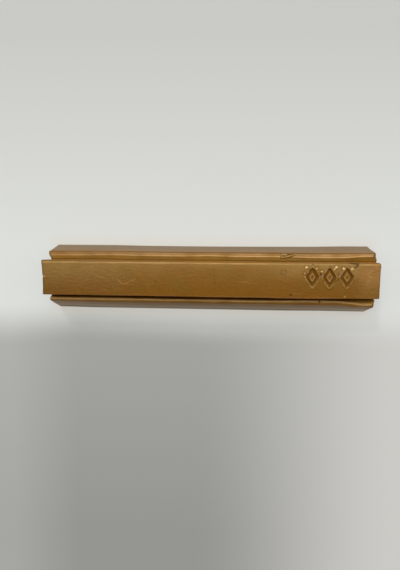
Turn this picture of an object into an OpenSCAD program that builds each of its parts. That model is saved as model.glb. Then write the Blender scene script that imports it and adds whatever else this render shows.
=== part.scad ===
// Furniture repair wax stick: one bar of hard wax with a stepped section.
// A drafted foot carries a low ledge along each side and a raised bar between them.
// The bar's top has a row of hot-stamped marks, and a drip of wax has set on the rear ledge.
// Millimetres. +X runs along the stick to its marked end, +Y to its rear side and +Z up.
// The origin is the middle of the foot's flat underside.

/* [Stick] */
// Length of the whole stick
stick_l = 80; // [50:0.5:120]
// Height of the bar's flat top above the underside
stick_h = 10; // [8:0.1:14]

/* [Foot] */
// Width of the underside, measured to the sharp corners before they are rounded
foot_w = 16.6; // [14:0.1:22]
// Height of the ledges' flat tops above the underside
ledge_h = 6; // [3:0.1:7]
// Rounding of the two long edges at the underside
foot_edge_r = 0.3; // [0.1:0.05:0.8]

/* [Ledges] */
// Width of the rear ledge's flat top
rear_ledge_w = 0.95; // [0.5:0.05:1.4]
// Width of the front ledge's flat top
front_ledge_w = 0.75; // [0.5:0.05:1.4]
// Width of the rear groove, from the bar's root to the ridge
rear_groove_w = 1; // [0.6:0.05:1.2]
// Width of the front groove, from the bar's root to the ridge
front_groove_w = 0.8; // [0.6:0.05:1.2]
// Depth of the grooves below the ledges' flat tops
groove_depth = 1; // [0.5:0.1:2]
// Rounding of each ledge's two top edges
ledge_edge_r = 0.2; // [0.1:0.05:0.25]

/* [Bar] */
// Width of the bar at its root, where the grooves end
bar_root_w = 8.9; // [8.4:0.1:9.4]
// Width of the bar at its flat top, measured to the sharp edges before they are rounded
bar_top_w = 8.45; // [7.6:0.05:8.9]
// How far the middle of that top lies to the rear of the stick's middle
bar_top_shift = 0.22; // [0:0.02:0.3]
// Rounding of the bar's front top edge
bar_front_edge_r = 0.25; // [0.1:0.05:0.5]
// Rounding of the bar's rear top edge, the softer one
bar_rear_edge_r = 0.6; // [0.1:0.05:0.8]

/* [Stamped marks] */
// Number of lozenge marks in the row
mark_count = 3; // [1:1:4]
// Width of one stamped hollow, along the stick and before its corners are rounded
mark_w = 3.2; // [2.8:0.1:4]
// Length of one stamped hollow, across the stick and before its corners are rounded
mark_l = 5.2; // [4:0.1:5.4]
// Rounding of the hollow's corners
mark_corner_r = 0.3; // [0.1:0.05:0.5]
// Depth of the hollow below the bar's top
mark_depth = 0.5; // [0.2:0.05:1]
// Width of the channel that the stamp pressed in round its island
channel_w = 0.75; // [0.4:0.05:0.85]
// How far the island stands below the bar's top
island_drop = 0.12; // [0.05:0.01:0.15]
// Width of the rim of melted wax round each hollow
rim_w = 0.4; // [0.2:0.02:0.5]
// Height of that rim above the bar's top
rim_h = 0.2; // [0.1:0.02:0.4]
// Gap between one rim and the next
rim_gap = 0.06; // [0.04:0.01:0.3]
// Distance from the bar's marked end to the nearest rim
mark_end_gap = 5.6; // [3:0.1:12]
// Distance from the bar's rear top edge, before it is rounded, to the rims
mark_edge_gap = 0.8; // [0.6:0.05:1.4]

/* [Drip] */
// Length of the wax drip on the rear ledge, along the stick
drip_l = 3.4; // [2:0.1:6]
// Width of the drip across the ledge, in from the ledge's outer edge
drip_w = 1.45; // [0.8:0.05:1.7]
// Height of the drip above the ledge's flat top
drip_h = 0.45; // [0.2:0.05:0.9]
// How far the drip's widest level lies below the ledge's flat top
drip_sink = 0.2; // [0.05:0.05:0.3]
// Distance from the stick's marked end to the middle of the drip
drip_end_gap = 20.5; // [5:0.1:40]

/* [Hidden] */

// Colours of the lower wax, of the bar's wax and of the wax that melted and set again
LOWER_WAX = [0.53, 0.41, 0.26];
BAR_WAX = [0.59, 0.43, 0.23];
MELTED_WAX = [0.48, 0.32, 0.12];

// Steps in one rounded corner
arc_steps = 6;
// Rounding of the island's corners, under half of its narrowest width
island_corner_r = 0.15;
// Overrun of a cut past the face that it opens
cut_over = 0.5;
// Facets round the drip
drip_facets = 32;

// Level of the grooves' roots, where the bar and the ledges stand on the foot
root_z = ledge_h - groove_depth;
rear_ridge_y = bar_root_w / 2 + rear_groove_w;
front_ridge_y = bar_root_w / 2 + front_groove_w;
rear_edge_y = rear_ridge_y + rear_ledge_w;
front_edge_y = front_ridge_y + front_ledge_w;

// Middle of the mark nearest to the end, and the step from one mark to the next
mark_x = stick_l / 2 - mark_end_gap - mark_reach(mark_w, mark_l);
mark_y = bar_top_shift + bar_top_w / 2 - mark_edge_gap - mark_reach(mark_l, mark_w);
mark_pitch = 2 * mark_reach(mark_w, mark_l) + rim_gap;

// How much longer than a side's offset the offset of its corner is, across a lozenge
function corner_spread(across, along) = sqrt(across * across + along * along) / along;

// Distance from a mark's middle to the outside of its rim, in the direction of its size across
function mark_reach(across, along) =
    across / 2 - mark_corner_r * (corner_spread(across, along) - 1) + rim_w;

// Arc of radius r that rounds the corner b between the sides to a and to c
function rounded(a, b, c, r) =
    let (u = (a - b) / norm(a - b), v = (c - b) / norm(c - b),
         half = acos(u * v) / 2,
         middle = b + (u + v) / norm(u + v) * r / sin(half),
         first = b + u * r / tan(half) - middle,
         turn = (cross(u, v) > 0 ? -1 : 1) * (180 - 2 * half))
    [for (i = [0:arc_steps])
        let (t = turn * i / arc_steps)
        middle + [first.x * cos(t) - first.y * sin(t), first.x * sin(t) + first.y * cos(t)]];

// A mark's lozenge, set out by an even band and with its corners rounded by r
function lozenge(band, r) =
    let (x = mark_w / 2 + band * corner_spread(mark_w, mark_l),
         y = mark_l / 2 + band * corner_spread(mark_l, mark_w),
         tips = [[x, 0], [0, y], [-x, 0], [0, -y]])
    [for (i = [0:3], p = rounded(tips[(i + 3) % 4], tips[i], tips[(i + 1) % 4], r)) p];

// Where the foot's straight wall, from the underside to a ledge's edge, passes the grooves' level
function wall_y(edge_y) = foot_w / 2 + (edge_y - foot_w / 2) * root_z / ledge_h;

// A list of section points, seen from the other side
function other_side(points) = [for (i = [len(points) - 1:-1:0]) [-points[i].x, points[i].y]];

// A section drawn in Y and Z, carried along the whole stick
module along_stick(section) {
    translate([-stick_l / 2, 0, 0])
        rotate([90, 0, 90])
            linear_extrude(height = stick_l)
                polygon(section);
}

// Puts its children at the middle of each mark, on the bar's top
module at_marks() {
    for (i = [0:mark_count - 1])
        translate([mark_x - i * mark_pitch, mark_y, stick_h])
            children();
}

// Half of the foot's section, up to the side of the given edge
function foot_half(edge_y) =
    let (shoulder = [wall_y(edge_y), root_z])
    concat(rounded([0, 0], [foot_w / 2, 0], shoulder, foot_edge_r), [shoulder]);

// Drafted block from the underside up to the grooves
module foot_block() {
    color(LOWER_WAX) along_stick(concat(foot_half(rear_edge_y), other_side(foot_half(front_edge_y))));
}

// One ledge's section: the outer side carries on the foot's wall, the inner side slopes into the groove
function ledge_section(ridge_y, edge_y) =
    let (foot = [wall_y(edge_y), root_z], edge = [edge_y, ledge_h],
         ridge = [ridge_y, ledge_h], root = [bar_root_w / 2, root_z])
    concat([foot], rounded(foot, edge, ridge, ledge_edge_r), rounded(edge, ridge, root, ledge_edge_r), [root]);

// Ledge on the rear side, the wider one
module rear_ledge() {
    color(LOWER_WAX) along_stick(ledge_section(rear_ridge_y, rear_edge_y));
}

// Ledge on the front side
module front_ledge() {
    color(LOWER_WAX) along_stick(other_side(ledge_section(front_ridge_y, front_edge_y)));
}

// What one stamp pressed in: a channel round an island that stands a little below the bar's top
module stamp_hollow() {
    translate([0, 0, -mark_depth])
        linear_extrude(height = mark_depth + cut_over)
            difference() {
                polygon(lozenge(0, mark_corner_r));
                polygon(lozenge(-channel_w, island_corner_r));
            }
    translate([0, 0, -island_drop])
        linear_extrude(height = island_drop + cut_over)
            polygon(lozenge(0, mark_corner_r));
}

// One side of the bar's section, from its root to its rounded top edge
function bar_half(shift, edge_r) =
    let (root = [bar_root_w / 2, root_z], top = [bar_top_w / 2 + shift, stick_h])
    concat([root], rounded(root, top, [0, stick_h], edge_r));

// Raised bar that is rubbed on the damaged wood, with the marks pressed into its top
module working_bar() {
    color(BAR_WAX)
        difference() {
            along_stick(concat(bar_half(bar_top_shift, bar_rear_edge_r),
                               other_side(bar_half(-bar_top_shift, bar_front_edge_r))));
            at_marks() stamp_hollow();
        }
}

// Rims of wax that the hot stamp pushed up round its hollows
module stamp_rims() {
    color(MELTED_WAX)
        at_marks()
            linear_extrude(height = rim_h)
                difference() {
                    polygon(lozenge(rim_w, mark_corner_r + rim_w));
                    polygon(lozenge(0, mark_corner_r));
                }
}

// Drop of wax that ran from the rear ledge's edge over its ridge and set there
module ledge_drip() {
    color(MELTED_WAX)
        difference() {
            translate([stick_l / 2 - drip_end_gap, rear_edge_y - drip_w / 2, ledge_h - drip_sink])
                scale([drip_l / 2, drip_w / 2, drip_h + drip_sink])
                    sphere(r = 1, $fn = drip_facets);
            rear_ledge();
        }
}

foot_block();
rear_ledge();
front_ledge();
working_bar();
stamp_rims();
ledge_drip();
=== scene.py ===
"""Furniture repair wax stick, dressed for rendering.

The stick is one casting of hard wax: a drafted foot, a ledge and a groove along each side, and a bar
between them. Its skin is a single surface carried along the stick, with closed ends. The rims of
melted wax round the stamped marks and the drip on the rear ledge are pieces of their own.
Lengths in the shape functions are millimetres, and the meshes are written in metres.
"""

import math

import bpy
import numpy as np
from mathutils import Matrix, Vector, geometry


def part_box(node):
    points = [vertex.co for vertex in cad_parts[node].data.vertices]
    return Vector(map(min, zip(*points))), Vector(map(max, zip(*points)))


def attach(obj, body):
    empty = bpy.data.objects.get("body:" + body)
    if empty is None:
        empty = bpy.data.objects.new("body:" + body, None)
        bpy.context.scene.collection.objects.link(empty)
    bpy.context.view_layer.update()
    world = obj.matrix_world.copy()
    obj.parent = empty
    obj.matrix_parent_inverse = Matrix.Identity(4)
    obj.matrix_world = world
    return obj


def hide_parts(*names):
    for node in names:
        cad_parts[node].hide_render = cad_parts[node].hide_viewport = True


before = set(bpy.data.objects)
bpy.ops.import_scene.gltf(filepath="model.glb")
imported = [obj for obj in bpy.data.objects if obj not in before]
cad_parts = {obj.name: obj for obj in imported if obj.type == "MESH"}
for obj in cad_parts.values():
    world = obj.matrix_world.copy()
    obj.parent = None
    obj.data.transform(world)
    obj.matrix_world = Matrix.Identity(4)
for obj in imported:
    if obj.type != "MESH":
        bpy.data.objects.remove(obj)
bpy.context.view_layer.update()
MM = 0.001


def box_mm(node):
    """Lowest and highest corner of a CAD node, in millimetres."""
    low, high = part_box(node)
    return np.array(low) / MM, np.array(high) / MM


# Places that the CAD nodes give. ROOT_Z is the grooves' root, and ROOT_Y half the bar's width there
HALF_L, _, ROOT_Z = box_mm("foot_block")[1]
LEDGE_Z = box_mm("rear_ledge")[1][2]
_, ROOT_Y, TOP_Z = box_mm("working_bar")[1]
rims_low, rims_high = box_mm("stamp_rims")
drip_low, drip_high = box_mm("ledge_drip")

# Section of the casting, as in the CAD model
FOOT_W = 16.6
BAR_TOP_W = 8.45
BAR_TOP_SHIFT = 0.22
BAR_REAR = BAR_TOP_SHIFT + BAR_TOP_W / 2
BAR_FRONT = BAR_TOP_SHIFT - BAR_TOP_W / 2
REAR_LEDGE_W = 0.95
FRONT_LEDGE_W = 0.75
REAR_GROOVE_W = 1.0
FRONT_GROOVE_W = 0.8
# How far the outer edge of a ledge lies below its ridge
LEDGE_FALL = 0.12
# How far the ridges and the front ledge's edge bend outwards near the marked end
REAR_SPLAY = 0.4
FRONT_SPLAY = 0.58
EDGE_SPLAY = 0.3
# How each long edge departs from its straight line, for along_stick: level, bumps and steps
REAR_RIDGE_WANDER = (0.03, [(-24, 5, 0.15), (0, 3.5, 0.15)], [(18, 26, -0.1), (32, 38, REAR_SPLAY)])
REAR_EDGE_WANDER = (0.18, [], [(-22, -8, -0.12), (26, 34, 0.1)])
REAR_FOOT_WANDER = (0.1, [(0, 20, -0.13)], [(-26, -14, -0.1), (24, 36, 0.15)])
REAR_ROOT_WANDER = (0, [(-29, 6, 0.15), (18, 8, -0.12)], [])
FRONT_RIDGE_WANDER = (0, [], [(14, 26, -0.18), (30.5, 38.5, FRONT_SPLAY)])
FRONT_EDGE_WANDER = (-0.15, [], [(-40, -30, 0.15), (31, 37, EDGE_SPLAY)])
FRONT_FOOT_WANDER = (0, [], [(-39, -29, 0.1), (19, 29, -0.1)])
BAR_FRONT_WANDER = (0.06, [], [(-33, -15, -0.08), (-10, 2, -0.06), (24, 32, 0.14), (25, 43, 0.08)])
# Lengths over which the section's corners are eased, along each side of the corner
EASE_FOOT = 0.4
EASE_REAR_EDGE = 0.14
EASE_FRONT_EDGE = 0.38
EASE_RIDGE = 0.16
EASE_ROOT = 0.06
EASE_BAR_REAR = 0.6
EASE_BAR_FRONT = 0.22
# Rounding where the long surfaces meet the ends
END_R = 0.12
END_RINGS = 5
# Strength of the painted shade along the rim of each end, and the number of columns over which it fades
# out
PLAIN_RIM = 0.8
MARKED_RIM = 0.2
RIM_COLUMNS = 3
# Spacing of the points inside an end face
END_STEP = 0.34
# Length over which the shape of an end fades into the straight stick
END_FADE = 3.0
# Radii in plan of each end's corners: the bar's rear and front, then the foot's rear and front
PLAIN_RADII = (0, 0, 0.15, 0.55)
MARKED_RADII = (0.6, 0.3, 0.2, 0.25)

# Stamped marks
MARK_COUNT = 3
MARK_W = 3.2
MARK_L = 5.2
MARK_EASE = 0.1
MARK_INNER = MARK_W * MARK_L / 2 / math.hypot(MARK_W, MARK_L)
RIM_GAP = 0.06
CHANNEL_W = 0.75
MARK_DEPTH = 0.4
ISLAND_DROP = 0.12
WALL_SOFT = 0.09
# How far the close columns reach past the marks, and the number of columns in each stretch:
# beside the plain end, along the plain top, across the marks and up to the marked end
MARKS_BEFORE = 0.9
MARKS_AFTER = 1.4
COLUMN_COUNTS = (22, 270, 140, 25)
mark_reach = (rims_high[0] - rims_low[0] - (MARK_COUNT - 1) * RIM_GAP) / (2 * MARK_COUNT)
mark_y = (rims_low[1] + rims_high[1]) / 2
mark_xs = rims_low[0] + mark_reach + np.arange(MARK_COUNT) * (2 * mark_reach + RIM_GAP)


def smooth_step(value, low, high):
    """0 below low, 1 above high, and an even S curve between them."""
    t = np.clip((value - low) / (high - low), 0, 1)
    return t * t * (3 - 2 * t)


def unit(vectors):
    """The same vectors at length 1."""
    return vectors / np.linalg.norm(vectors, axis=-1, keepdims=True)


def xyz(x, y, z):
    """Points from their coordinates, any of which may be a single number."""
    return np.stack(np.broadcast_arrays(x, y, z), -1)


def waves(points, length, seed, count=20, stretch=(1, 1, 1)):
    """Smooth random relief between about -1 and 1: a sum of sine waves in random directions.

    points is (..., 3), length the usual wavelength, and stretch lengthens the waves along X, Y and Z.
    """
    rng = np.random.default_rng(seed)
    way = unit(rng.normal(size=(count, 3)))
    rate = 2 * math.pi / (length * rng.uniform(0.7, 1.5, count))
    phase = rng.uniform(0, 2 * math.pi, count)
    scaled = points / np.array(stretch, float)
    total = np.zeros(points.shape[:-1])
    for i in range(count):
        total += np.sin(scaled @ (way[i] * rate[i]) + phase[i])
    return total / math.sqrt(count)


def stroke(x, y, path, width):
    """Bell-shaped weight, 1 on the line through the path's points and falling off over the width."""
    nearest = np.full(x.shape, 1e9)
    for (ax, ay), (bx, by) in zip(path[:-1], path[1:]):
        run_x, run_y = bx - ax, by - ay
        t = np.clip(((x - ax) * run_x + (y - ay) * run_y) / (run_x**2 + run_y**2), 0, 1)
        nearest = np.minimum(nearest, np.hypot(x - ax - t * run_x, y - ay - t * run_y))
    return np.exp(-((nearest / width) ** 2))


def lozenge_distance(x, y):
    """Distance outside a mark's lozenge, negative inside it, with the corners eased.

    A lozenge is |x|/a + |y|/b = 1. Each absolute value becomes the root of its square plus a small
    share of the distance from the middle squared, which rounds the corners alike at every size.
    """
    share = MARK_EASE**2 * (x**2 + y**2)
    reach = np.sqrt(x**2 + share) / (MARK_W / 2) + np.sqrt(y**2 + share) / (MARK_L / 2)
    return (reach - 1) * MARK_INNER


def lozenge_path(turn, distance):
    """Points at the given distances outside a mark's lozenge, in the directions of the turns."""
    reach = np.sqrt(np.cos(turn) ** 2 + MARK_EASE**2) / (MARK_W / 2)
    reach = reach + np.sqrt(np.sin(turn) ** 2 + MARK_EASE**2) / (MARK_L / 2)
    radius = (1 + distance / MARK_INNER) / reach
    return radius * np.cos(turn), radius * np.sin(turn)


def nearest_mark(x, y):
    """Distance outside the nearest mark's lozenge."""
    return np.min([lozenge_distance(x - cx, y - mark_y) for cx in mark_xs], axis=0)


def bell(value, middle, width):
    """Bell-shaped weight: 1 at the middle, and falling off over the width on both sides."""
    return np.exp(-(((value - middle) / width) ** 2))


def arch(t, power=2):
    """Height of a rounded end: 1 at t = 0, falling ever more steeply to 0 at t = 1."""
    return np.sqrt(1 - np.clip(t, 0, 1) ** power)


def along_stick(x, level, bumps, steps):
    """A value that changes along the stick: a level, with bell-shaped bumps and S-shaped steps.

    A bump is its place, half-width and height. A step is where it starts and ends and what it adds.
    """
    value = level + 0 * x
    for place, width, height in bumps:
        value = value + height * bell(x, place, width)
    for start, end, rise in steps:
        value = value + rise * smooth_step(x, start, end)
    return value


def rear_ridge_y(x):
    """Y of the rear ledge's ridge."""
    return ROOT_Y + REAR_GROOVE_W + along_stick(x, *REAR_RIDGE_WANDER)


def rear_edge_y(x):
    """Y of the rear ledge's outer edge."""
    return ROOT_Y + REAR_GROOVE_W + REAR_LEDGE_W + along_stick(x, *REAR_EDGE_WANDER)


def front_ridge_y(x):
    """Distance of the front ledge's ridge from the middle."""
    return ROOT_Y + FRONT_GROOVE_W + along_stick(x, *FRONT_RIDGE_WANDER)


def section_corners(x):
    """Corners of the section at each x, from the rear foot corner over the bar to the front one.

    Returns the corners as (corner, x, 2) in Y and Z, and the easing length of each corner.
    """
    rear_foot = FOOT_W / 2 + along_stick(x, *REAR_FOOT_WANDER)
    rear_root = ROOT_Y + along_stick(x, *REAR_ROOT_WANDER)
    bar_front = BAR_FRONT + along_stick(x, *BAR_FRONT_WANDER)
    front_edge = ROOT_Y + FRONT_GROOVE_W + FRONT_LEDGE_W + along_stick(x, *FRONT_EDGE_WANDER)
    front_foot = FOOT_W / 2 + along_stick(x, *FRONT_FOOT_WANDER)
    edge_z = LEDGE_Z - LEDGE_FALL
    corners = [
        (rear_foot, 0, EASE_FOOT),
        (rear_edge_y(x), edge_z, EASE_REAR_EDGE),
        (rear_ridge_y(x), LEDGE_Z, EASE_RIDGE),
        (rear_root, ROOT_Z, EASE_ROOT),
        (BAR_REAR, TOP_Z, EASE_BAR_REAR),
        (bar_front, TOP_Z, EASE_BAR_FRONT),
        (-ROOT_Y, ROOT_Z, EASE_ROOT),
        (-front_ridge_y(x), LEDGE_Z, EASE_RIDGE),
        (-front_edge, edge_z, EASE_FRONT_EDGE),
        (-front_foot, 0, EASE_FOOT),
    ]
    places = np.array([np.stack([y + 0 * x, z + 0 * x], -1) for y, z, _ in corners])
    return places, [ease for _, _, ease in corners]


# Points on each straight run of the section that follows a corner, and on each eased corner
RUN_POINTS = [12, 6, 6, 8, 70, 8, 6, 5, 12, 10]
CORNER_POINTS = [5, 5, 5, 5, 10, 5, 5, 5, 5, 5]


def section(x):
    """The section's outline at each x, as (point, x, 2): straight runs between eased corners.

    A corner is eased by the quadratic curve whose control point is the corner itself.
    """
    places, eases = section_corners(x)
    count = len(eases)
    rows = []
    for k in range(count):
        before, corner, after = (places[(k + i) % count] for i in (-1, 0, 1))
        back, ahead = unit(before - corner), unit(after - corner)
        start, end = corner + back * eases[k], corner + ahead * eases[k]
        t = np.linspace(0, 1, CORNER_POINTS[k])[:, None, None]
        rows.append(start * (1 - t) ** 2 + corner * 2 * t * (1 - t) + end * t**2)
        onward = after - ahead * eases[(k + 1) % count]
        s = np.linspace(0, 1, RUN_POINTS[k] + 2)[1:-1, None, None]
        rows.append(end * (1 - s) + onward * s)
    return np.concatenate(rows)


def columns():
    """Places of the section along the stick: close together at the marks, wider elsewhere."""
    side = HALF_L - END_R
    stops = [-side, -side + END_FADE, rims_low[0] - MARKS_BEFORE, rims_high[0] + MARKS_AFTER, side]
    stretches = [
        np.linspace(start, end, count, endpoint=False)
        for start, end, count in zip(stops[:-1], stops[1:], COLUMN_COUNTS)
    ]
    return np.concatenate([*stretches, [side]])


def quarter(depth, radius):
    """How far a corner rounded by a quarter circle lies inside, at a depth beside its straight side."""
    inside = np.clip(radius - depth, 0, radius)
    return radius - np.sqrt(radius**2 - inside**2)


def end_relief(y, z, marked):
    """How far an end face lies inside the stick's full length, at Y and Z. Negative is outside it.

    lean is the height within the bar, from 0 to 1. above is 1 on the bar, below is 1 up to the ledges,
    and high is 1 at the height of the grooves.
    """
    points = xyz(0, y, z)
    seed = 31 if marked else 32
    relief = 0.02 * waves(points, 1.6, seed) + 0.035 * waves(points, 5, seed + 2)
    lean = (z - ROOT_Z) / (TOP_Z - ROOT_Z)
    above = smooth_step(z, ROOT_Z + 0.3, ROOT_Z + 1.2)
    below = 1 - smooth_step(z, LEDGE_Z - 0.2, LEDGE_Z + 0.2)
    high = smooth_step(z, 3.5, 5)
    # The four corners, rounded in plan
    bar_rear, bar_front, foot_rear, foot_front = MARKED_RADII if marked else PLAIN_RADII
    rear_y = ROOT_Y + (BAR_REAR - ROOT_Y) * lean
    front_y = -ROOT_Y + (BAR_FRONT + ROOT_Y) * lean
    foot_y = FOOT_W / 2 - (FOOT_W / 2 - ROOT_Y - REAR_GROOVE_W - REAR_LEDGE_W) * z / LEDGE_Z
    relief += (quarter(rear_y - y, bar_rear) + quarter(y - front_y, bar_front)) * above
    relief += (quarter(foot_y - y, foot_rear) + quarter(foot_y + y, foot_front)) * below
    if marked:
        # The bar ends a little askew, and the foot reaches out more and more up to the ledges
        relief += (0.07 - 0.025 * y) * above
        relief += (0.08 - 0.38 * np.clip(z / LEDGE_Z, 0, 1)) * (1 - above)
        # The foot reaches out most at its rear corner and at the roots of the grooves
        relief -= (0.2 + 0.1 * smooth_step(z, 2, 5)) * smooth_step(y, 5.8, 6.8) * below
        relief -= (0.33 + 0.09 * np.sign(y)) * bell(np.abs(y), ROOT_Y + 0.2, 1.0) * high * (1 - above)
        # Both sides of the foot are slightly hollow half way up
        relief += 0.1 * bell(z, 3.2, 1.3) * smooth_step(np.abs(y), 5.5, 7)
    else:
        # The bar is hollow between its corners and reaches out to the rear
        relief += 0.05 + 0.1 * np.clip(1 - (y / ROOT_Y) ** 2, 0, 1) * above
        relief -= 0.2 * smooth_step(y, 0, ROOT_Y) * above
        # The foot ends short at the underside, less so in front, and short at the rear groove
        share = np.clip(1 - z / LEDGE_Z, 0, 1)
        relief += (0.15 - 0.02 * y - 0.28 * smooth_step(-y, 5, 7)) * share
        relief += 0.22 * bell(y, 5.3, 1.1) * high * (1 - above * (y < ROOT_Y))
        # A nick in the bar's top edge
        relief += 0.12 * bell(y, 0.4, 0.3) * smooth_step(z, TOP_Z - 0.5, TOP_Z)
    return relief


def top_relief(x, y):
    """Height of the bar's top above its plain level: the stamped hollows, scratches and wrinkles."""
    flat = xyz(x, y, 0)
    # A wavering outline, a channel with a round bottom, and an island just below the top
    d = nearest_mark(x, y) + 0.035 * waves(flat, 0.9, 41)
    hollow = 1 - smooth_step(d, -WALL_SOFT, WALL_SOFT)
    middle = (d + CHANNEL_W / 2) / (CHANNEL_W / 2)
    height = -MARK_DEPTH * arch(np.abs(middle), 2.4)
    height -= ISLAND_DROP * smooth_step(-d, CHANNEL_W + 0.1, CHANNEL_W + 0.4)
    height += 0.05 * bell(d, -CHANNEL_W - 0.05, 0.12)
    for path, strength in PITS:
        height -= 0.3 * strength * stroke(x, y, path, 0.16)
    for place, size in BEADS:
        height += facet(x, y, place, size)
    # Wax that spread out round the hollows
    height += 0.06 * np.exp(-np.clip(d, 0, None) / 0.45) * (1 - hollow)
    # Orange-peel wrinkles, strongest towards both ends
    ends = 0.35 + 0.65 * np.maximum(1 - smooth_step(x, -34, -8), smooth_step(x, 32, 38))
    height += 0.006 * ends * waves(flat, 1.2, 42, count=70) * (1 - hollow)
    # Broad unevenness, a slight crown across the top, and swells beside the marked end
    height += 0.016 * waves(flat, 7, 43)
    height -= 0.05 * ((y - BAR_TOP_SHIFT) / (BAR_TOP_W / 2)) ** 2
    height += 0.03 * smooth_step(x, 34, 37) * waves(flat, 2.4, 44, stretch=(0.8, 1.6, 1))
    height += scratches(x, y)
    return height


# Curved scratches on the bar's top: points in X and Y, width and strength
SCRATCHES = [
    ([(-26.6, 0.95), (-26.0, 0.5), (-25.5, 0.2), (-25.0, 0.6)], 0.07, 0.35),
    ([(-21.4, -0.1), (-20.7, -0.8), (-20.0, -1.2), (-19.3, -1.05), (-18.65, -0.65)], 0.07, 0.5),
    ([(-18.35, -0.5), (-17.7, -0.3), (-17.0, -0.1)], 0.07, 0.35),
    ([(7.45, -0.35), (8.5, -0.35), (9.5, -0.4), (10.2, -0.75)], 0.08, 0.28),
    ([(20.1, -2.0), (20.4, -2.8), (21.2, -3.1), (22.0, -2.6)], 0.1, 0.12),
    ([(38.0, 2.6), (36.9, 1.8), (37.9, 1.1), (37.1, -0.2)], 0.11, 0.32),
]
# Distance from the middle of a scratch to the middle of its raised lip
LIP_SHIFT = 0.2
# The smear of the stamp beyond the last mark, a square impression, and a furrow across the middle
FAR = rims_high[0]
SMEAR = [(FAR - 1.3, 4.28), (FAR + 0.45, 4.1), (FAR + 0.25, 3.55), (FAR - 0.15, 3.25)]
SQUARE_MARK = [(17.3, 2.5), (18.4, 2.5), (18.4, 1.5), (17.3, 1.5), (17.3, 2.5)]
SEAM = [(1.6, 2.9), (1.85, -2.5)]
# Each one's path, width, depth and darkness
FURROWS = [(SMEAR, 0.24, 0.06, 0.85), (SQUARE_MARK, 0.13, 0.02, 0.38), (SEAM, 0.18, 0.02, 0.1)]
# Dark specks: each one's place and radius
SPECKS = [((-12.2, -0.62), 0.2), ((19.65, -3.3), 0.27)]
# Light specks: the wax raised beside the plain end's nick, and a chip near the front edge
CHIPS = [(-39.4, 0.42), (32.1, -3.5)]
NICK = (-39.4, 0.9)
# Pits where two marks come close: each one's path and strength
between = (mark_xs[:-1] + mark_xs[1:]) / 2
PITS = [
    ([(between[0], mark_y + 0.4), (between[0] - 0.05, mark_y + 1.0)], 0.9),
    ([(between[1], mark_y - 0.45), (between[1] - 0.05, mark_y - 0.8)], 0.6),
    ([(between[1] - 0.05, mark_y + 0.6), (between[1] + 0.1, mark_y + 1.0)], 0.5),
]
# Place and size of each flake of raised wax, whose upper side faces the rear lamp
BEADS = [
    ((mark_xs[0] - 1.45, mark_y + 2.35), 0.55),
    ((mark_xs[0] + 0.9, mark_y + 2.1), 0.4),
    ((between[0] + 0.05, mark_y + 1.4), 0.38),
    ((mark_xs[1] + 0.95, mark_y + 2.0), 0.4),
    ((mark_xs[1] + 1.4, mark_y + 2.5), 0.55),
    ((mark_xs[2] - 0.9, mark_y + 2.1), 0.5),
    ((mark_xs[2] + 1.0, mark_y + 2.1), 0.6),
    ((mark_xs[0] - 1.85, mark_y + 0.95), 0.3),
]
# A crack across the front ledge's ridge
CRACK_X = 27.25


def scratches(x, y):
    """Height of the marks of handling on the bar's top. A scratch is a furrow with a raised lip."""
    height = np.zeros_like(x)
    for path, width, strength in SCRATCHES:
        furrow = stroke(x, y, path, width) - stroke(x, y - LIP_SHIFT, path, width)
        height += 0.035 * strength * furrow
    for path, width, depth, _ in FURROWS:
        height -= depth * stroke(x, y, path, width)
    for spot, radius in SPECKS:
        height -= 0.03 * spot_weight(x, y, spot, radius)
    height += 0.1 * spot_weight(x, y, CHIPS[0], 0.3) - 0.08 * spot_weight(x, y, NICK, 0.25)
    height += 0.06 * spot_weight(x, y, CHIPS[1], 0.15)
    return height


def facet(x, y, spot, size):
    """Height of a flake of wax: a plane that rises to the front and right, with a steep far side."""
    rise = 0.587 * (x - spot[0]) - 0.809 * (y - spot[1])
    side = 0.809 * (x - spot[0]) + 0.587 * (y - spot[1])
    plane = np.clip(rise / size + 0.5, 0, 1) * (1 - smooth_step(rise, size / 2, size / 2 + 0.15))
    return 0.514 * size * plane * (1 - smooth_step(np.abs(side), 0.4 * size, 0.7 * size))


def spot_weight(x, y, spot, radius):
    """Bell-shaped weight round one place."""
    return np.exp(-((x - spot[0]) ** 2 + (y - spot[1]) ** 2) / radius**2)


def filled_end(ring):
    """Fills an end: the ring's own points first, then points of an even grid inside it.

    Returns the inner points in Y and Z, and triangles that count the ring's points from 0 and the
    inner points after them.
    """
    (low_y, low_z), (high_y, high_z) = ring.min(0), ring.max(0)
    y, z = np.meshgrid(np.arange(low_y, high_y, END_STEP), np.arange(low_z, high_z, END_STEP * 0.87))
    y[1::2] += END_STEP / 2
    y, z = y.ravel(), z.ravel()
    # A point is inside if the outline crosses the line from it to the rear an odd number of times
    (near_y, near_z), (far_y, far_z) = ring.T[..., None], np.roll(ring, -1, axis=0).T[..., None]
    rise = np.where(np.abs(far_z - near_z) < 1e-9, 1e-9, far_z - near_z)
    crossing_y = near_y + (z - near_z) / rise * (far_y - near_y)
    inside = (((near_z > z) != (far_z > z)) & (y < crossing_y)).sum(0) % 2 == 1
    inside &= edge_distance(y, z, ring) > END_STEP * 0.45
    inner = np.stack([y[inside], z[inside]], -1)
    points = np.concatenate([ring, inner])
    made = geometry.delaunay_2d_cdt([Vector(p) for p in points], [], [list(range(len(ring)))], 1, 1e-6)
    back = np.array([origins[0] for origins in made[3]])
    return inner, back[np.array(made[2])]


def edge_distance(y, z, ring):
    """Distance of each point from the ring's outline."""
    run = (np.roll(ring, -1, axis=0) - ring)[:, None]
    way = np.stack([y, z], -1) - ring[:, None]
    t = np.clip((way * run).sum(-1) / (run**2).sum(-1), 0, 1)
    return np.linalg.norm(way - t[..., None] * run, axis=-1).min(0)


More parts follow.
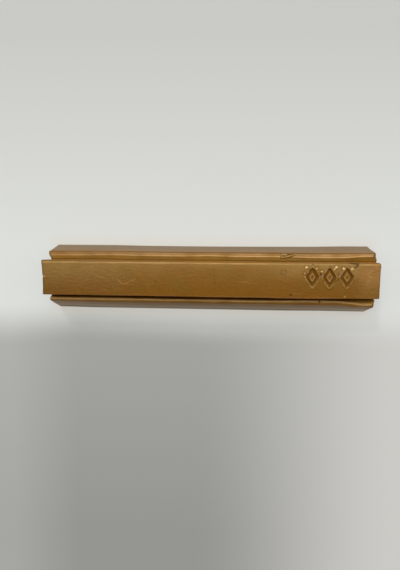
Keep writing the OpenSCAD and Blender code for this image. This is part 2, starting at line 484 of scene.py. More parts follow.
def casting_grid():
    """The long surface as (point, column, 3), with rounded rings added at both ends.

    A ring is the last section, moved inwards by R(1 - cos t) and along the stick by R sin t.
    """
    x = columns()
    outline = section(x)
    along = np.roll(outline, -1, axis=0) - np.roll(outline, 1, axis=0)
    outward = unit(np.stack([along[..., 1], -along[..., 0]], -1))
    turns = np.linspace(0, math.pi / 2, END_RINGS + 1)[1:]
    onward, inwards = END_R * np.sin(turns), END_R * (1 - np.cos(turns))
    inset = np.concatenate([inwards[::-1], 0 * x, inwards])[:, None]
    sources = np.clip(np.arange(len(inset)) - END_RINGS, 0, len(x) - 1)
    outline = outline[:, sources] - outward[:, sources] * inset
    x = np.concatenate([x[0] - onward[::-1], x, x[-1] + onward])
    return xyz(x, outline[..., 0], outline[..., 1])


def surface_normals(grid):
    """Outward normals of a grid that is closed around its first axis."""
    around = np.roll(grid, -1, axis=0) - np.roll(grid, 1, axis=0)
    ahead = np.gradient(grid, axis=1)
    normals = np.cross(around, ahead)
    return unit(normals + 1e-12)


def shaped_casting():
    """The casting's grid with the shape of its ends and all its relief."""
    grid = casting_grid()
    x, y, z = (grid[..., i] for i in range(3))
    for side in (-1, 1):
        weight = smooth_step(side * x, HALF_L - END_FADE, HALF_L - END_R)
        grid[..., 0] = x - side * weight * end_relief(y, z, side > 0)
        x = grid[..., 0]
    normals = surface_normals(grid)
    top = (normals[..., 2] > 0.9) & (z > TOP_Z - 0.3)
    from_edges = smooth_step(BAR_REAR - 0.25 - y, 0, 0.4) * smooth_step(y - BAR_FRONT, 0.02, 0.3)
    lift = top_relief(x, y) * from_edges
    fade = 1 - smooth_step(np.abs(x), HALF_L - 0.5, HALF_L)
    # The long surfaces are drawn out, with faint lines along them
    drawn = 0.012 * waves(grid, 1.3, 51, stretch=(24, 1, 1))
    drawn = drawn + 0.03 * waves(grid, 9, 52, stretch=(2, 1, 1))
    on_ledges = smooth_step(z, ROOT_Z - 0.6, LEDGE_Z - 0.2)
    on_ledges *= 1 - smooth_step(z, LEDGE_Z + 0.3, LEDGE_Z + 1.2)
    blotches = 0.02 * waves(grid, 2.2, 53, stretch=(1.6, 1, 1)) * on_ledges
    # The rear ledge's flat is slightly hollow between its two edges
    hollow_y = (rear_ridge_y(x) + rear_edge_y(x)) / 2
    blotches -= 0.05 * bell(y, hollow_y, 0.2) * (z > LEDGE_Z - 0.3)
    resting = smooth_step(z, 0.05, 1.0)
    side_lift = (drawn + blotches) * resting * fade
    grid = grid + normals * np.where(top, 0, side_lift)[..., None]
    grid[..., 2] += np.where(top, lift * fade, 0)
    grid[..., 2] = np.clip(grid[..., 2], 0, None)
    return grid


def placed(name, data):
    """A new object in the scene, for a mesh, a light or a camera."""
    made = bpy.data.objects.new(name, data)
    bpy.context.scene.collection.objects.link(made)
    return made


def mesh_piece(name, vertices, faces, material, attributes):
    """A new smooth object from points in millimetres, with a value for each point in each attribute."""
    mesh = bpy.data.meshes.new(name)
    mesh.from_pydata((vertices * MM).tolist(), [], faces)
    mesh.validate()
    mesh.update()
    for label, values in attributes.items():
        layer = mesh.attributes.new(label, "FLOAT", "POINT")
        layer.data.foreach_set("value", np.asarray(values, np.float32))
    mesh.polygons.foreach_set("use_smooth", np.full(len(mesh.polygons), True))
    mesh.materials.append(material)
    return placed(name, mesh)


def wrapped_quads(rows, count, close_columns=False):
    """Faces of a grid stored row by row, closed around its rows and, if asked, its columns too."""
    row = np.arange(rows)[:, None]
    column = np.arange(count if close_columns else count - 1)[None]
    near, far = row * count, (row + 1) % rows * count
    onward = (column + 1) % count
    corners = np.broadcast_arrays(near + column, far + column, far + onward, near + onward)
    return np.stack(corners, -1).reshape(-1, 4)


def turned_outwards(vertices, quads):
    """The faces of a closed surface, turned round if the volume that they enclose is negative."""
    a, b, c, d = (vertices[quads[:, k]] for k in range(4))
    volume = (a * (np.cross(b, c) + np.cross(c, d))).sum()
    return quads if volume > 0 else quads[:, ::-1]


def folded(x, y, upper, lower):
    """Points across an upper face and back across the lower one, as (row, point, 3)."""
    return np.concatenate([xyz(x, y, upper), xyz(x, y, lower)[:, ::-1]], 1)


def mark_traits(x, y, on_top):
    """Attributes of the stamped marks and the marks of handling.

    melt is high where the hot stamp melted the wax, channel is painted shade in its hollows, scuff is
    pale chips together with painted highlights on the scratches' raised lips and the islands' rings and
    painted glints on the flakes, and dark is dark specks together with painted shade in the pits, the
    furrows and the scratches' sunken sides, and a dark line across the front ridge.
    """
    d = nearest_mark(x, y)
    melt = 1 - smooth_step(d, 0.1, 0.55)
    for place, _ in BEADS:
        melt = np.maximum(melt, spot_weight(x, y, place, 0.5))
    # Painted shade in the marks' hollows
    channel = 0.85 * np.exp(-(np.abs(d + CHANNEL_W / 2) / (0.52 * CHANNEL_W)) ** 4)
    # Painted highlights on the scratches' raised lips
    scuff_and_glint = [0.8 * strength * stroke(x, y, path, width) for path, width, strength in SCRATCHES]
    # Painted highlight on the ring round each island
    scuff_and_glint.append(0.4 * bell(d, -CHANNEL_W - 0.08, 0.13))
    # Pale chips
    scuff_and_glint += [0.6 * spot_weight(x, y, spot, 0.18) for spot in CHIPS]
    # Painted glints on the flakes
    scuff_and_glint += [0.8 * smooth_step(facet(x, y, place, size), 0.02, 0.06) for place, size in BEADS]
    dark = [0.95 * spot_weight(x, y, spot, radius) for spot, radius in SPECKS]
    # Painted shade in the pits, the furrows and the scratches' sunken sides; the specks above are dark
    # wax
    dark += [0.8 * strength * stroke(x, y, path, 0.17) for path, strength in PITS]
    dark += [darkness * stroke(x, y, path, width) for path, width, _, darkness in FURROWS]
    dark += [0.3 * strength * stroke(x, y - LIP_SHIFT, path, w) for path, w, strength in SCRATCHES]
    front_ridge = front_ridge_y(x)
    crack = bell(x, CRACK_X, 0.18) * smooth_step(-y, ROOT_Y + 0.4, ROOT_Y + 0.6)
    crack *= 1 - smooth_step(-y, front_ridge + 0.3, front_ridge + 0.6)
    dark = np.maximum(np.max(dark, axis=0) * on_top, crack)
    scuff_and_glint = np.max(scuff_and_glint, axis=0) * on_top
    return {"melt": melt * on_top, "channel": channel * on_top, "scuff_and_glint": scuff_and_glint, "dark": dark}


def skin_traits(points, on_top, left, right, melt):
    """Attributes of the bar's skin.

    bloom is a pale wax bloom towards both ends, together with painted sheen that lightens the top
    towards the rear, warm is its redder part at the marked end, and peel is the strength of the
    wrinkles.
    """
    x, y, z = points.T
    near_marks = smooth_step(x, 8, 24)
    # Painted sheen lightens the top towards the rear, and a pale wax bloom lies towards both ends
    bloom_and_sheen = (0.15 + 0.2 * left) * smooth_step(y, -4.5, 4)
    bloom_and_sheen += (0.2 - 0.1 * left - 0.06 * near_marks) * np.exp(-np.clip(3.8 - y, 0, None))
    bloom_and_sheen += 0.17 * near_marks * smooth_step(y, -0.5, 2.2)
    bloom_and_sheen = np.maximum(bloom_and_sheen, (0.1 + 0.31 * smooth_step(y, -3.5, 2.2)) * right)
    bloom_and_sheen *= 1 - 0.8 * smooth_step(y, BAR_REAR - 0.45, BAR_REAR - 0.2)
    bloom_and_sheen *= (1 + 0.1 * waves(points, 5, 61)) * smooth_step(z, LEDGE_Z, TOP_Z) * (1 - melt)
    peel = np.maximum(1 - smooth_step(x, -30, 0), smooth_step(x, 33, 36))
    peel = np.maximum(peel, 0.5) * (1 - melt) * on_top
    return {"bloom_and_sheen": bloom_and_sheen, "warm": 0.2 * right * on_top * smooth_step(y, -3.5, 2.2), "peel": peel}


def edge_traits(points, on_top, left, right, melt):
    """Attributes of the ridges and edges.

    worn is their rubbed wax, together with painted highlight lines on the ridges and the bar's rear
    edge, and paler upper foot walls;
    slope is painted light on the grooves' outer sides; and deep is painted shade along the rear ledge's
    outer edge, with a little darker wax on the plain end's top.
    """
    x, y, z = points.T
    rear_ridge, front_ridge = rear_ridge_y(x), front_ridge_y(x)
    spots = 1 + 0.3 * waves(xyz(x, 0, 0), 4, 62)
    on_ledge = bell(z, LEDGE_Z, 0.25)
    # Painted highlight and rubbed wax: a bright line on the rear ridge and a fainter one beyond it, on a
    # ledge lightened with painted light
    rear = 0.95 * bell(y, rear_ridge + 0.08, 0.15) + 0.4 * bell(y, rear_ridge + 0.68, 0.15)
    rear += (0.3 + 0.25 * smooth_step(x, 35, 38)) * smooth_step(y, rear_ridge, rear_ridge + 0.2)
    rear *= on_ledge * (1 - 0.4 * left)
    # Painted highlight along the front ridge
    front = 1.8 * bell(y, -front_ridge, 0.24) * on_ledge + 0.15 * on_ledge * (y < 0)
    # Painted highlight along the bar's rounded rear edge
    bar_edge_highlight = bell(y, BAR_REAR - 0.52, 0.12) * smooth_step(z, TOP_Z - 0.6, TOP_Z - 0.2)
    bar_edge_highlight *= (1 - melt) * (1 - 0.5 * smooth_step(x, 8, 24) * (1 - right))
    foot_wall = 0.1 * smooth_step(z, 2, LEDGE_Z - 0.3) * (np.abs(y) > ROOT_Y + REAR_GROOVE_W + 0.5)
    # Painted shade along the rear ledge's outer edge
    outer = bell(y, rear_edge_y(x) + 0.05, 0.14) * smooth_step(z, LEDGE_Z - 1, LEDGE_Z - 0.5)
    worn_and_highlight = np.maximum(rear * (1 - outer) + front + 0.8 * bar_edge_highlight, foot_wall) * spots
    # Painted light on the rear groove's outer side, and near the marked end on the front one
    slope = 0.9 * smooth_step(y, ROOT_Y + 0.05, ROOT_Y + 0.35) * (y < rear_ridge + 0.1)
    slope *= smooth_step(z, ROOT_Z + 0.05, ROOT_Z + 0.3) * (1 - smooth_step(z, LEDGE_Z - 0.2, LEDGE_Z))
    slope *= 1 - 0.5 * smooth_step(x, 30, 35)
    front_slope = 0.25 * smooth_step(x, 31, 36) * smooth_step(-y, ROOT_Y + 0.1, ROOT_Y + 0.5)
    slope += front_slope * (y > -front_ridge) * (z < LEDGE_Z + 0.1)
    slope *= 0.7 + 0.3 * spots
    return {"worn_and_highlight": worn_and_highlight, "slope": slope, "dark_wax_and_edge_shade": 0.85 * outer + 0.15 * left * on_top}


def wall_traits(points, left):
    """Attributes of the walls and grooves.

    cavity is painted shade in the root of the front groove and, faintly, of the rear one. film is a grey
    painted reflection of the floor on the foot's rear wall, strongest low down, lip is the upper part of
    its front wall, duller and darkened with painted shade, and satin is painted light, with a duller
    finish, on the bar's rear edge, the rear groove's root and the rear wall's upper part.
    """
    x, y, z = points.T
    # Painted shade in the root of the front groove and, faintly, of the rear one
    groove = np.hypot((np.abs(y) - ROOT_Y) / 0.55, (z - ROOT_Z) / 0.9)
    groove_shade = np.exp(-(groove**2)) * (y < 0) * (1 - 0.45 * smooth_step(x, 30, 36))
    groove_shade += 0.15 * np.exp(-4 * groove**2) * (y > 0)
    below = 1 - smooth_step(z, LEDGE_Z - 0.5, LEDGE_Z)
    # Painted reflection of the floor on the foot's rear wall, strongest low down
    in_rear = below * (y > rear_ridge_y(x))
    near_edge = smooth_step(z, LEDGE_Z - 2.5, LEDGE_Z - 0.4)
    upper = smooth_step(z, LEDGE_Z - 3.8, LEDGE_Z - 1.4)
    # Painted shade on the upper part of the front foot wall, which is also duller
    lip = 0.32 * below * upper * (1 - 0.4 * left) * (y < -front_ridge_y(x))
    # Painted light, with a duller finish, on the bar's rounded rear edge, the rear groove's root and the
    # rear wall's upper part
    round_edge = smooth_step(y, BAR_REAR - 0.4, BAR_REAR - 0.2) * smooth_step(z, LEDGE_Z, TOP_Z - 0.5)
    dull_painted_light = 0.08 * round_edge + 0.5 * bell(y, ROOT_Y, 0.3) * bell(z, ROOT_Z, 0.5)
    dull_painted_light += 0.2 * in_rear * near_edge
    return {"groove_shade": groove_shade, "floor_reflection": 0.32 * in_rear * (1 - 0.7 * near_edge), "lip": lip, "dull_painted_light": dull_painted_light}


def casting_traits(points):
    """All attributes of the casting's skin at each point, between 0 and 1."""
    x, y, z = points.T
    on_top = smooth_step(z, TOP_Z - 0.9, TOP_Z - 0.5)
    left, right = 1 - smooth_step(x, -34, -6), smooth_step(x, 33, 37)
    traits = mark_traits(x, y, on_top)
    traits |= skin_traits(points, on_top, left, right, traits["melt"])
    traits |= edge_traits(points, on_top, left, right, traits["melt"])
    traits |= wall_traits(points, left)
    return {name: np.clip(values, 0, 1) for name, values in traits.items()}


def wax_casting(material):
    """The whole casting: the long surface, and a filled face at each end."""
    grid = shaped_casting()
    rows, count = grid.shape[:2]
    points = [grid.reshape(-1, 3)]
    # The attributes of the long surface fade out over the rounding into each end
    columns_left = np.minimum(np.arange(count), np.arange(count)[::-1])
    rim = np.clip(1 - (columns_left - END_RINGS) / RIM_COLUMNS, 0, 1)
    rim *= np.where(np.arange(count) < count / 2, PLAIN_RIM, MARKED_RIM)
    open_side = [np.tile(np.clip(columns_left / END_RINGS, 0, 1), rows)]
    faces = wrapped_quads(rows, count).tolist()
    used = rows * count
    for column, marked in ((0, False), (count - 1, True)):
        inner, triangles = filled_end(grid[:, column, 1:])
        side = 1 if marked else -1
        inner_x = side * (HALF_L - end_relief(inner[:, 0], inner[:, 1], marked))
        points.append(xyz(inner_x, *inner.T))
        open_side.append(np.zeros(len(inner)))
        ids = np.concatenate([np.arange(rows) * count + column, used + np.arange(len(inner))])
        ends = ids[triangles]
        faces += (ends if marked else ends[:, ::-1]).tolist()
        used += len(inner)
    vertices, open_side = np.concatenate(points), np.concatenate(open_side)
    traits = {name: values * open_side for name, values in casting_traits(vertices).items()}
    traits["open_side"] = open_side
    # A line of painted shade along the rim of each end
    traits["dark_wax_and_edge_shade"][: rows * count] = np.maximum(traits["dark_wax_and_edge_shade"][: rows * count], np.tile(rim, rows))
    return mesh_piece("wax_casting", vertices, faces, material, traits)


def stamp_rims(material):
    """Rims of melted wax: a bead of uneven width carried round each mark's lozenge.

    A bead's points lie at fixed distances outside the lozenge. Its upper face is a skewed bell, steep
    towards the hollow and flat towards the bar's top, and its lower face lies inside the bar.
    """
    turn = np.linspace(0, 2 * math.pi, 260, endpoint=False)[:, None]
    across = np.linspace(-1, 1, 22)[None]
    points, faces, crests, shades = [], [], [], []
    for number, centre in enumerate(mark_xs):
        way_x, way_y = lozenge_path(turn, 0.1)
        here = xyz(way_x + centre, way_y + mark_y, 0)
        swell = waves(here, 1.3, 71 + number)
        outer, inner = 0.4 + 0.1 * swell, 0.16 + 0.05 * waves(here, 0.8, 81 + number)
        distance = 0.1 + np.where(across > 0, outer, inner) * across
        bead_x, bead_y = lozenge_path(turn, distance)
        crest = 0.11 + 0.06 * waves(here, 0.9, 91 + number)
        upper = TOP_Z - 0.02 + crest * (1 - across**2) ** 1.4
        bead = folded(bead_x + centre, bead_y + mark_y, upper, TOP_Z - 0.16)
        rows, count = bead.shape[:2]
        points.append(bead.reshape(-1, 3))
        own = turned_outwards(points[-1], wrapped_quads(rows, count, True))
        faces.append(own + number * rows * count)
        # Painted highlight, lightest on the bead's high crest and on each mark's front side
        front = 0.6 + 0.4 * smooth_step(mark_y - bead[..., 1], -0.5, 0.5)
        crests.append((np.clip((bead[..., 2] - TOP_Z) / 0.44, 0, 1) * front).ravel())
        # Painted shade at the bead's outer foot
        shade = 0.6 * smooth_step(across, 0.3, 0.9) + 0 * turn
        shades.append(np.concatenate([shade, shade[:, ::-1]], 1).ravel())
    traits = {"crest": np.concatenate(crests), "shade": np.concatenate(shades)}
    points, faces = np.concatenate(points), np.concatenate(faces).tolist()
    return mesh_piece("stamp_rims_melted", points, faces, material, traits)


def wax_drip(material):
    """The drip: a curl of wax that lies over the rear ledge, blunt at one end and pointed at the other.

    Along the drip, u runs from the blunt end to the point, and v from the groove to the outer edge.
    Its lower face follows the ledge. Its thickness is a thin skin, a long crest that crosses from the
    groove to the point, and a knob at the outer side of the blunt end, with a hollow between them.
    """
    along, across = 80, 48
    u = np.linspace(0, 1, along)[:, None]
    v = np.linspace(0, 1, across)[None]
    x = drip_low[0] - 0.35 + (drip_high[0] - drip_low[0] + 0.53) * u
    x = x + 1.1 * (v - 0.45) ** 2 * (1 - u) ** 2
    outer = ROOT_Y + REAR_GROOVE_W + REAR_LEDGE_W + 0.12 - 0.5 * u**2.5
    inner = ROOT_Y + 0.45 - 0.1 * u + 1.1 * u**2
    y = inner + (outer - inner) * v
    # What the drip lies on: the groove's outer side, the ledge and the top of the rear wall
    ridge, edge = rear_ridge_y(x), rear_edge_y(x)
    slope = LEDGE_Z - (LEDGE_Z - ROOT_Z) * np.clip(ridge - y, 0, None) / (ridge - ROOT_Y)
    bed = slope - LEDGE_FALL * np.clip(y - ridge, 0, None) / (edge - ridge)
    bed -= 1.2 * np.clip(y - edge + 0.08, 0, None)
    blunt = arch(1 - u / 0.14)
    taper = arch((u - 0.45) / 0.55)
    rounded = arch(2 * v - 1, 3) * smooth_step(v, -0.08, 0.3)
    crest = bell(v, 0.27 + 0.36 * u**1.5, 0.15)
    knob = bell(v, 0.74, 0.12) * bell(u, 0.3, 0.1)
    streak = 0.6 * bell(u, 0.08, 0.05) * smooth_step(v, 0.3, 0.6)
    rim = bell(v, 0.95, 0.1)
    thick = 0.1 + (0.28 - 0.1 * u) * crest + 0.4 * knob + 0.22 * streak + 0.1 * rim
    thick = thick * blunt * taper * rounded
    ring = folded(x, y, bed + thick - 0.02, bed - 0.1)
    # Painted highlight on the crest, the knob and the streak, and painted shade round the outline and in
    # the hollow
    light = np.clip(0.65 * crest + 2.4 * knob + 1.3 * streak, 0, 1) * rounded * blunt
    light = np.concatenate([light, 0 * light], 1).T.ravel()
    outline = np.maximum(smooth_step(v, 0.87, 0.97), 0.6 - 0.6 * smooth_step(u, 0.01, 0.06))
    outline = 0.6 * np.maximum(outline, 0.7 * smooth_step(u, 0.88, 1))
    valley = (1 - np.clip(crest + knob + streak, 0, 1)) * smooth_step(v, 0.1, 0.35)
    shade = np.maximum(outline, 0.75 * valley)
    shade = np.concatenate([shade, shade], 1).T.ravel()
    # The faces round the drip, and those that close its two ends
    cells = wrapped_quads(2 * across, along)
    vertices = ring.transpose(1, 0, 2).reshape(-1, 3)
    first = np.arange(across - 1)
    last = 2 * across - 1 - first
    cap = np.stack([first, first + 1, last - 1, last], -1) * along
    faces = np.concatenate([cells, cap, cap[:, [0, 3, 2, 1]] + along - 1])
    faces = turned_outwards(vertices, faces).tolist()
    return mesh_piece("wax_drip", vertices, faces, material, {"crest": light, "shade": shade})


def linear(red, green, blue):
    """A colour given as 0 to 255 values, in the linear form that the shaders take."""
    c = np.array([red, green, blue]) / 255
    return (*np.where(c <= 0.04045, c / 12.92, ((c + 0.055) / 1.055) ** 2.4), 1.0)


def add(tree, kind, inputs=None, **settings):
    """Adds a node. An input's value is a constant or another node's output."""
    made = tree.nodes.new(kind)
    for name, value in settings.items():
        setattr(made, name, value)
    for name, value in (inputs or {}).items():
        if isinstance(value, bpy.types.NodeSocket):
            tree.links.new(value, made.inputs[name])
        else:
            made.inputs[name].default_value = value
    return made


def mixed(tree, factor, a, b):
    """Output of a colour mix of a and b."""
    return add(tree, "ShaderNodeMix", {0: factor, 6: a, 7: b}, data_type="RGBA").outputs[2]


def sums(tree, operation, a, b=0.0):
    """Output of a sum, product or other operation on two numbers."""
    return add(tree, "ShaderNodeMath", {0: a, 1: b}, operation=operation).outputs[0]


def ranged(tree, value, low, high, out_low, out_high, way="LINEAR"):
    """Output of a value carried from one range to another and held inside it."""
    made = add(tree, "ShaderNodeMapRange", {
        "Value": value, "From Min": low, "From Max": high, "To Min": out_low, "To Max": out_high,
    }, interpolation_type=way)
    return made.outputs[0]


def noise(tree, place, size_mm, detail, rough=0.55):
    """Output of a noise whose patches are about size_mm across."""
    made = add(tree, "ShaderNodeTexNoise", {
        "Vector": place, "Scale": 1 / (size_mm * MM), "Detail": detail, "Roughness": rough,
    })
    return made.outputs[0]


def attribute(tree, name):
    """Output of one of the piece's own attributes."""
    return add(tree, "ShaderNodeAttribute", attribute_name=name).outputs["Fac"]


def new_material(name):
    """An empty node material with its shader, and the piece's own coordinates."""
    material = bpy.data.materials.new(name)
    material.use_nodes = True
    tree = material.node_tree
    shader = tree.nodes["Principled BSDF"]
    place = add(tree, "ShaderNodeTexCoord").outputs["Object"]
    return material, tree, shader, place


# The constants that every wax surface shares
WAX = {
    "IOR": 1.45,
    "Sheen Weight": 0.05,
    "Sheen Roughness": 0.4,
    "Sheen Tint": (1.0, 0.82, 0.55, 1.0),
    "Subsurface Weight": 0.12,
    "Subsurface Radius": (1.0, 0.45, 0.12),
    "Subsurface Scale": 0.9 * MM,
}


def set_constants(shader, constants):
    """Sets a shader's own sockets."""
    for name, value in constants.items():
        shader.inputs[name].default_value = value


def join_surface(tree, shader, colour, rough, height, strength, depth):
    """Gives a shader its colour, its roughness and a fine relief, whose depth is in millimetres."""
    relief = {"Height": height, "Strength": strength, "Distance": depth * MM}
    bump = add(tree, "ShaderNodeBump", relief).outputs[0]
    for name, value in {"Base Color": colour, "Roughness": rough, "Normal": bump}.items():
        tree.links.new(value, shader.inputs[name])


# Layers of the casting's colour, from the lowest: the attribute that lays each one on, its colour,
# and for some what the fine grain multiplies it by, at its weakest and strongest
WAX_LAYERS = [
    # Painted reflection of the floor on the rear foot wall
    ("floor_reflection", (96, 103, 90)),
    # Painted shade on the upper front wall
    ("lip", (114, 78, 10)),
    # Pale wax bloom, with painted sheen towards the rear
    ("bloom_and_sheen", (180, 148, 82), 0.75, 1.15),
    ("warm", (158, 82, 40)),
    # Painted light at the rear groove's root, the bar's rear edge and the rear wall
    ("dull_painted_light", (186, 130, 14)),
    # Rubbed wax, with painted highlight lines on ridges and edges
    ("worn_and_highlight", (208, 166, 104), 0.65, 1),
    # Painted light on the grooves' outer sides
    ("slope", (200, 160, 80), 0.75, 1),
    # Painted shade along edges, and darker wax on the plain end's top
    ("dark_wax_and_edge_shade", (84, 54, 5)),
    # Painted shade in the marks' hollows
    ("channel", (108, 66, 6)),
    # Painted shade in the roots of the grooves
    ("groove_shade", (62, 26, 1)),
    # Pale chips, with painted highlights and glints
    ("scuff_and_glint", (208, 172, 104)),
    # Dark specks, with painted shade in pits, furrows and scratches
    ("dark", (62, 34, 3)),
]


def cast_wax():
    """Satin light-brown wax: mottled and wrinkled, with a pale bloom, rubbed ridges, painted sheen and
    highlights, painted reflections on the walls and painted shade in the grooves.
    """
    material, tree, shader, place = new_material("cast_wax")
    set_constants(shader, WAX | {"Specular IOR Level": 0.2})
    # The plain wax, with broad clouds, patches and fine grain, and painted shade in the valleys between
    # the wrinkles
    broad = ranged(tree, noise(tree, place, 7, 2), 0.35, 0.65, 0, 1)
    fine = ranged(tree, noise(tree, place, 0.9, 5, 0.7), 0.2, 0.8, 0, 1)
    patches = ranged(tree, noise(tree, place, 2.4, 4, 0.6), 0.3, 0.7, 0, 1)
    colour = mixed(tree, broad, linear(127, 84, 9), linear(118, 84, 10))
    colour = mixed(tree, sums(tree, "MULTIPLY", patches, 0.7), colour, linear(134, 80, 16))
    colour = mixed(tree, sums(tree, "MULTIPLY", fine, 0.5), colour, linear(106, 68, 5))
    peel = attribute(tree, "peel")
    drawn = add(tree, "ShaderNodeVectorMath", {0: place, 1: (0.5, 1, 1)}, operation="MULTIPLY")
    wrinkles = noise(tree, drawn.outputs[0], 0.55, 4, 0.65)
    valley_shade = sums(tree, "MULTIPLY", ranged(tree, wrinkles, 0.35, 0.65, 0.5, 0), peel)
    colour = mixed(tree, valley_shade, colour, linear(96, 62, 10))
    for name, shade, *grain in WAX_LAYERS:
        weight = attribute(tree, name)
        if grain:
            weight = sums(tree, "MULTIPLY", weight, ranged(tree, fine, 0, 1, *grain))
        colour = mixed(tree, weight, colour, linear(*shade))
    apart = add(tree, "ShaderNodeSeparateXYZ", {"Vector": place})
    # A painted reflection of the floor makes the lower front wall paler, above a dark line along its
    # base
    height = apart.outputs["Z"]
    in_front = ranged(tree, apart.outputs["Y"], -6.8 * MM, -6.6 * MM, 1, 0)
    in_front = sums(tree, "MULTIPLY", in_front, attribute(tree, "open_side"))
    pale = sums(tree, "MULTIPLY", ranged(tree, height, 1.3 * MM, 2 * MM, 0, 0.16), in_front)
    pale = sums(tree, "MULTIPLY", pale, ranged(tree, height, 2.2 * MM, 4 * MM, 1, 0))
    colour = mixed(tree, pale, colour, linear(180, 190, 150))
    off = sums(tree, "ABSOLUTE", sums(tree, "SUBTRACT", height, 0.85 * MM))
    line = sums(tree, "MULTIPLY", ranged(tree, off, 0, 0.6 * MM, 0.5, 0, "SMOOTHSTEP"), in_front)
    colour = mixed(tree, line, colour, linear(60, 52, 28))
    # Glossier where the wax melted, and duller under the bloom and painted sheen, on the upper front
    # wall and under the painted light at the rear groove and edge
    rough = 0.29
    for name, change in {"bloom_and_sheen": 0.04, "melt": -0.14, "lip": 0.5, "dull_painted_light": 0.5}.items():
        rough = sums(tree, "ADD", rough, sums(tree, "MULTIPLY", attribute(tree, name), change))
    join_surface(tree, shader, colour, rough, wrinkles, ranged(tree, peel, 0, 1, 0.15, 1), 0.15)
    return material


def melted_wax():
    """Wax that melted and set again: smoother and glossier than the casting, with painted highlights on
    its crests and painted shade at its outlines.
    """
    material, tree, shader, place = new_material("melted_wax")
    set_constants(shader, WAX | {"Specular IOR Level": 0.35})
    patches = ranged(tree, noise(tree, place, 1.2, 3), 0.3, 0.7, 0, 1)
    colour = mixed(tree, patches, linear(134, 92, 14), linear(118, 80, 8))
    # Painted highlight where crest is high, and painted shade where shade is high
    crest = sums(tree, "MULTIPLY", attribute(tree, "crest"), 0.85)
    colour = mixed(tree, crest, colour, linear(212, 176, 108))
    shade = sums(tree, "MULTIPLY", attribute(tree, "shade"), 0.75)
    colour = mixed(tree, shade, colour, linear(88, 54, 5))
    rough = ranged(tree, noise(tree, place, 0.8, 2), 0.3, 0.7, 0.14, 0.26)
    join_surface(tree, shader, colour, rough, noise(tree, place, 0.5, 2), 0.5, 0.06)
    return material


# How far the sheet reaches from the middle, and how much of its brightness is its own
FLOOR_REACH = 700
FLOOR_GLOW = 0.55


def paper_floor():
    """A pale sheet under the stick, with painted light round it and a painted shadow in front of it,
    most so on the left.

    Part of its brightness is its own, for the camera and for reflections, so the shadow stays soft.
    """
    material, tree, shader, place = new_material("pale_floor")
    apart = add(tree, "ShaderNodeSeparateXYZ", {"Vector": place})
    along, across = apart.outputs["X"], apart.outputs["Y"]
    # The border of the painted shadow: slightly slanted, and shifted at the left and on the right
    slant = sums(tree, "ADD", across, sums(tree, "MULTIPLY", along, 0.04))
    slant = sums(tree, "ADD", slant, ranged(tree, along, -54 * MM, -34 * MM, 3 * MM, 0))
    slant = sums(tree, "ADD", slant, ranged(tree, along, 0, 25 * MM, 0, -2 * MM))
    ahead = ranged(tree, slant, -19 * MM, -6 * MM, 0, 1, "SMOOTHSTEP")
    # The painted light fades to the back, and the painted shadow lightens towards both sides
    behind = ranged(tree, across, 8 * MM, 62 * MM, 0, 1)
    far = mixed(tree, behind, linear(220, 222, 218), linear(199, 199, 196))
    dim = ranged(tree, across, -70 * MM, -20 * MM, 1, 0)
    near = mixed(tree, dim, linear(162, 163, 159), linear(149, 149, 146))
    light_left = ranged(tree, along, -54 * MM, -36 * MM, 0.26, 0)
    light_right = ranged(tree, along, -5 * MM, 54 * MM, 0, 1, "SMOOTHSTEP")
    near = mixed(tree, sums(tree, "ADD", light_left, light_right), near, linear(204, 203, 199))
    colour = mixed(tree, ahead, near, far)
    # Painted light reflected from the stick, in its colour, on the sheet round its foot
    past_end = sums(tree, "SUBTRACT", sums(tree, "ABSOLUTE", along), 31.5 * MM)
    beside = sums(tree, "MAXIMUM", sums(tree, "ABSOLUTE", across), past_end)
    colour = mixed(tree, ranged(tree, beside, 8 * MM, 11.5 * MM, 0.3, 0), colour, linear(216, 200, 176))
    away = add(tree, "ShaderNodeVectorMath", {0: place}, operation="LENGTH").outputs["Value"]
    distant = ranged(tree, away, 95 * MM, 190 * MM, 0, 1, "SMOOTHSTEP")
    colour = mixed(tree, distant, colour, linear(206, 206, 203))
    tree.links.new(colour, shader.inputs["Base Color"])
    set_constants(shader, {"Roughness": 0.85, "Specular IOR Level": 0.2})
    own = add(tree, "ShaderNodeEmission", {"Color": colour, "Strength": 1.0})
    path = add(tree, "ShaderNodeLightPath")
    direct = sums(tree, "ADD", path.outputs["Is Camera Ray"], path.outputs["Is Glossy Ray"])
    direct = sums(tree, "ADD", direct, path.outputs["Is Transmission Ray"])
    share = sums(tree, "MULTIPLY", sums(tree, "MINIMUM", direct, 1.0), FLOOR_GLOW)
    both = add(tree, "ShaderNodeMixShader", {0: share, 1: shader.outputs[0], 2: own.outputs[0]})
    tree.links.new(both.outputs[0], tree.nodes["Material Output"].inputs["Surface"])
    reach = FLOOR_REACH * MM
    mesh = bpy.data.meshes.new("pale_floor")
    corners = [(-reach, -reach, 0), (reach, -reach, 0), (reach, reach, 0), (-reach, reach, 0)]
    mesh.from_pydata(corners, [], [(0, 1, 2, 3)])
    mesh.materials.append(material)
    floor = placed("pale_floor", mesh)


def area_light(name, place, size, power, colour=(1, 1, 1)):
    """A soft rectangular light that faces the stick. Its place and size are in millimetres."""
    data = bpy.data.lights.new(name, "AREA")
    data.shape = "RECTANGLE"
    data.size, data.size_y = size[0] * MM, size[1] * MM
    data.energy = power
    data.color = colour
    light = placed(name, data)
    light.location = Vector(place) * MM
    light.rotation_euler = (-light.location).to_track_quat("-Z", "Y").to_euler()
    light.visible_camera = False


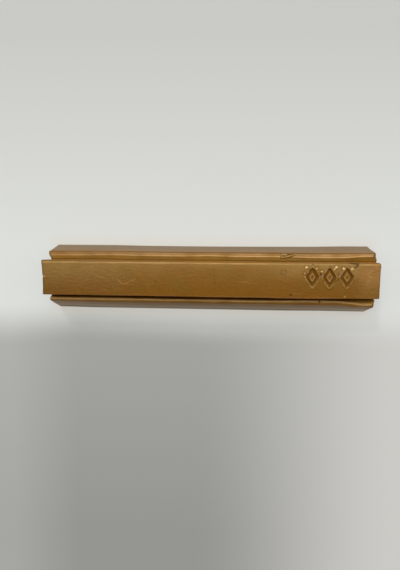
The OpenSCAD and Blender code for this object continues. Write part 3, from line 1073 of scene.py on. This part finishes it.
def studio():
    """Soft panels high behind the stick and beyond both of its ends, none straight above it.

    The room round them is lightest towards the back and the horizon, and dark overhead.
    """
    area_light("rear_panel", (0, 500, 1320), (1560, 750), 10.3, (1.0, 0.99, 0.97))
    area_light("left_panel", (-780, 180, 990), (660, 960), 2.2)
    area_light("right_panel", (780, 180, 990), (660, 960), 2.2)
    area_light("lamp", (-330, 900, 960), (130, 130), 4.6, (1.0, 0.97, 0.92))
    world = bpy.data.worlds.new("pale_room")
    bpy.context.scene.world = world
    world.use_nodes = True
    tree = world.node_tree
    direction = add(tree, "ShaderNodeTexCoord").outputs["Generated"]
    way = add(tree, "ShaderNodeSeparateXYZ", {"Vector": direction})
    level = ranged(tree, way.outputs["Y"], -1, 1, 0.34, 0.5)
    overhead = ranged(tree, way.outputs["Z"], 0.55, 0.95, 1, 0.2, "SMOOTHSTEP")
    ground = tree.nodes["Background"]
    ground.inputs["Color"].default_value = (0.96, 0.98, 1.0, 1.0)
    tree.links.new(sums(tree, "MULTIPLY", level, overhead), ground.inputs["Strength"])
    shown = add(tree, "ShaderNodeBackground", {"Color": (1, 1, 1, 1), "Strength": 0.85})
    seen = add(tree, "ShaderNodeLightPath").outputs["Is Camera Ray"]
    both = add(tree, "ShaderNodeMixShader", {0: seen, 1: ground.outputs[0], 2: shown.outputs[0]})
    tree.links.new(both.outputs[0], tree.nodes["World Output"].inputs["Surface"])


# The picture's size in pixels, and the camera's place in millimetres and turn in degrees
PICTURE_W = 400
PICTURE_H = 570
CAMERA_PLACE = (4.65, 6.22, 104.15)
CAMERA_TURN = (-4.46, 3.81, 0.47)


def photo_camera():
    """The camera, close above the stick. Its sensor spans the picture's longer side."""
    data = bpy.data.cameras.new("camera")
    data.sensor_width = 36.0
    data.lens = data.sensor_width * PICTURE_W / PICTURE_H
    data.clip_start, data.clip_end = 5 * MM, 5.0
    camera = placed("camera", data)
    camera.location = Vector(CAMERA_PLACE) * MM
    camera.rotation_euler = [math.radians(a) for a in CAMERA_TURN]
    bpy.context.scene.camera = camera


photo_camera()
studio()
paper_floor()
bpy.context.scene.view_settings.view_transform = "Standard"

melted = melted_wax()
casting = wax_casting(cast_wax())
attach(casting, "root")
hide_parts("foot_block", "rear_ledge", "front_ledge", "working_bar")

rims = stamp_rims(melted)
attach(rims, "root")
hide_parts("stamp_rims")

drip = wax_drip(melted)
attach(drip, "root")
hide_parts("ledge_drip")
